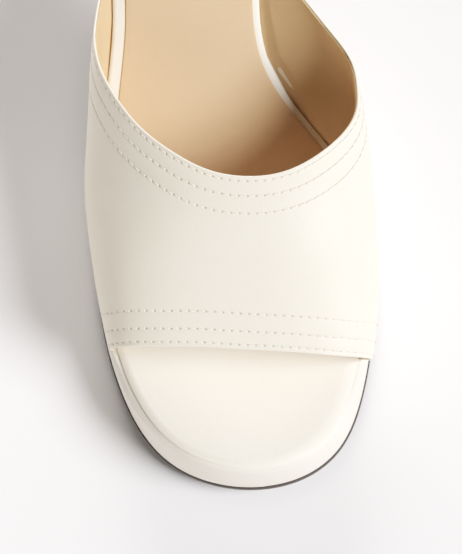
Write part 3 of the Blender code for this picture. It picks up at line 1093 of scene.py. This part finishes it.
def heel_ring(fall, margin):
    """Ring of the heel block from its seat (fall 0) to its foot (fall 1): plan points and the along
    of each point's place in the seat. The two corners at the breast are rounded."""
    breast = HEEL_BREAST + 2 * GAP
    near = np.linspace(0.0, 1.0, 9) ** 2 * 3 * HEEL_CORNER
    rest = float(turn_at(HEEL_BREAST + 4 * HEEL_CORNER + 2))
    side = np.concatenate([turn_at(breast + near), np.linspace(rest, math.pi, 60)])
    turns = np.concatenate([side, 2 * math.pi - side[-2::-1]])
    x, along = outline(turns, margin)
    along = np.clip(along, breast, None)
    inside = np.clip(HEEL_CORNER - (along - breast), 0, HEEL_CORNER)
    corner = HEEL_CORNER - np.sqrt(HEEL_CORNER ** 2 - inside ** 2)
    x = x - np.sign(x - HEEL_MIDDLE_X) * corner
    towards_back = (along - HEEL_BREAST) / (HEEL_POINT - HEEL_BREAST)
    shift = HEEL_BREAST_SLOPE * (1 - towards_back) - HEEL_BACK_SLOPE * towards_back
    ease = 1 - (1 - fall) ** 2
    width = 1 - (1 - HEEL_BOTTOM_SCALE) * ease
    return HEEL_MIDDLE_X + (x - HEEL_MIDDLE_X) * width, along + shift * ease, along


def ring_cap(offset, count):
    """Strips across a heel ring, from lateral points to their medial partners."""
    faces = []
    for i in range(count // 2):
        corners = (i, i + 1, count - 2 - i, count - 1 - i)
        faces.append([offset + corner for corner in dict.fromkeys(corners)])
    return faces


def stack_rings(name, rings, material, replaced):
    count = len(rings[0])
    faces = loft_faces(len(rings), count)
    faces += ring_cap(0, count) + ring_cap((len(rings) - 1) * count, count)
    return add_piece(name, np.concatenate(rings), faces, material, replaced)


def make_heel(leather_material, rubber_material):
    foot = TOP_PIECE_THICKNESS + 0.1
    rings = []
    for fall, inset, lift in HEEL_RINGS:
        x, along, seat_along = heel_ring(fall, HEEL_MARGIN - inset)
        z = foot + lift + (seat_height(seat_along) - foot) * (1 - fall)
        rings.append(np.stack([x, along, z], axis=-1))
    stack_rings("heel_wrap", rings, leather_material, ("heel",))

    rings = []
    for inset, z in TOP_PIECE_RINGS:
        x, along, _ = heel_ring(1.0, HEEL_MARGIN - TOP_PIECE_INSET - inset)
        rings.append(np.stack([x, along, np.full_like(x, z)], axis=-1))
    stack_rings("heel_top_piece", rings, rubber_material, ("top_piece",))


# ---- stage -----------------------------------------------------------
def make_floor():
    half = 6.0
    mesh = bpy.data.meshes.new("floor")
    corners = [(-half, -half, 0), (half, -half, 0), (half, half, 0), (-half, half, 0)]
    mesh.from_pydata(corners, [], [(0, 1, 2, 3)])
    mesh.materials.append(floor_material())
    floor = bpy.data.objects.new("floor", mesh)
    floor.location.z = -0.0002      # a hair under the treads
    bpy.context.scene.collection.objects.link(floor)


def direction(azimuth, elevation):
    """Unit vector at angles in degrees: azimuth 0 is +X and 90 is +Y."""
    azimuth = math.radians(azimuth)
    elevation = math.radians(elevation)
    level = math.cos(elevation)
    return Vector((level * math.cos(azimuth), level * math.sin(azimuth), math.sin(elevation)))


def make_light():
    """The soft lights, and a studio that is pale at the horizon."""
    for name, azimuth, elevation, width, irradiance, colour in SUNS:
        lamp = bpy.data.lights.new(name, "SUN")
        lamp.angle = math.radians(width)
        lamp.energy = irradiance
        lamp.color = colour
        holder = bpy.data.objects.new(name, lamp)
        holder.rotation_mode = "QUATERNION"
        holder.rotation_quaternion = direction(azimuth, elevation).to_track_quat("Z", "Y")
        bpy.context.scene.collection.objects.link(holder)

    studio = bpy.data.worlds.new("studio")
    studio.use_nodes = True
    tree = studio.node_tree
    where = node(tree, "ShaderNodeTexCoord", {}).outputs["Generated"]
    height = node(tree, "ShaderNodeSeparateXYZ", {"Vector": where}).outputs["Z"]
    glow = remap(tree, height, 0.0, HORIZON_HEIGHT, HORIZON_GLOW, ZENITH_GLOW)
    feed(tree, tree.nodes["Background"], {"Color": rgba(STUDIO_COLOUR), "Strength": glow})
    bpy.context.scene.world = studio


def set_response():
    """Film-like response: bright tones are held together and the darkest are deepened."""
    view = bpy.context.scene.view_settings
    view.view_transform = "Standard"
    view.use_curve_mapping = True
    curve = view.curve_mapping.curves[3]
    for tone in TONES:
        depth = tone / SHADOW_TONE
        shadow = 1 - SHADOW_DEPTH * math.exp(-depth) * (1 + depth)
        curve.points.new(tone, shadow * tone / ((1 - SHOULDER) + SHOULDER * tone))
    view.curve_mapping.update()


def make_camera():
    back = direction(CAMERA_AZIMUTH - 90.0, CAMERA_ELEVATION)
    lens = bpy.data.cameras.new("camera")
    lens.lens = CAMERA_LENS
    lens.clip_start = 0.01
    lens.clip_end = 50.0
    camera = bpy.data.objects.new("camera", lens)
    camera.location = Vector(CAMERA_TARGET) + back * CAMERA_DISTANCE
    camera.rotation_mode = "QUATERNION"
    camera.rotation_quaternion = (-back).to_track_quat("-Z", "Y")
    bpy.context.scene.collection.objects.link(camera)
    bpy.context.scene.camera = camera


# ---- build -----------------------------------------------------------
make_camera()
make_floor()
make_light()
set_response()

# The band's leather carries the painted shade of its needle holes.
cream = leather("cream_leather", (0.83, 0.785, 0.66), deep=(0.805, 0.755, 0.62), roughness=0.56,
                coat=0.03, holes=True)
cream_wrap = leather("cream_wrap", (0.825, 0.79, 0.70), deep=(0.80, 0.765, 0.67), roughness=0.48,
                     coat=0.05)
cream_pad = leather("cream_insole", (0.91, 0.88, 0.76), deep=(0.89, 0.855, 0.73), roughness=0.50,
                    grain=0.60, coat=0.03)
tan_lining = leather("tan_lining", (0.65, 0.457, 0.255), deep=(0.625, 0.43, 0.235), roughness=0.60,
                     grain=0.45, grain_depth=0.010, specular=0.08)
tan_sock = leather("tan_sock", (0.70, 0.495, 0.302), deep=(0.675, 0.47, 0.28), roughness=0.60,
                   grain=0.45, grain_depth=0.010, specular=0.08)
dark_edge = sole_rubber("dark_outsole", (0.056, 0.046, 0.041), worn=(0.075, 0.065, 0.06),
                        roughness=0.42)
dark_top_piece = sole_rubber("dark_top_piece", (0.042, 0.033, 0.029), worn=(0.06, 0.052, 0.048),
                             roughness=0.50)
cream_thread = thread_material("cream_thread", (0.84, 0.79, 0.68), deep=(0.74, 0.69, 0.58))

leather_face, face_normals, rows = make_band(cream, tan_lining)
make_stitches(leather_face, face_normals, rows, cream_thread)
make_insole(cream_pad)
make_sock(tan_sock)
make_platform(cream_wrap)
make_outsole(dark_edge)
make_heel(cream_wrap, dark_top_piece)
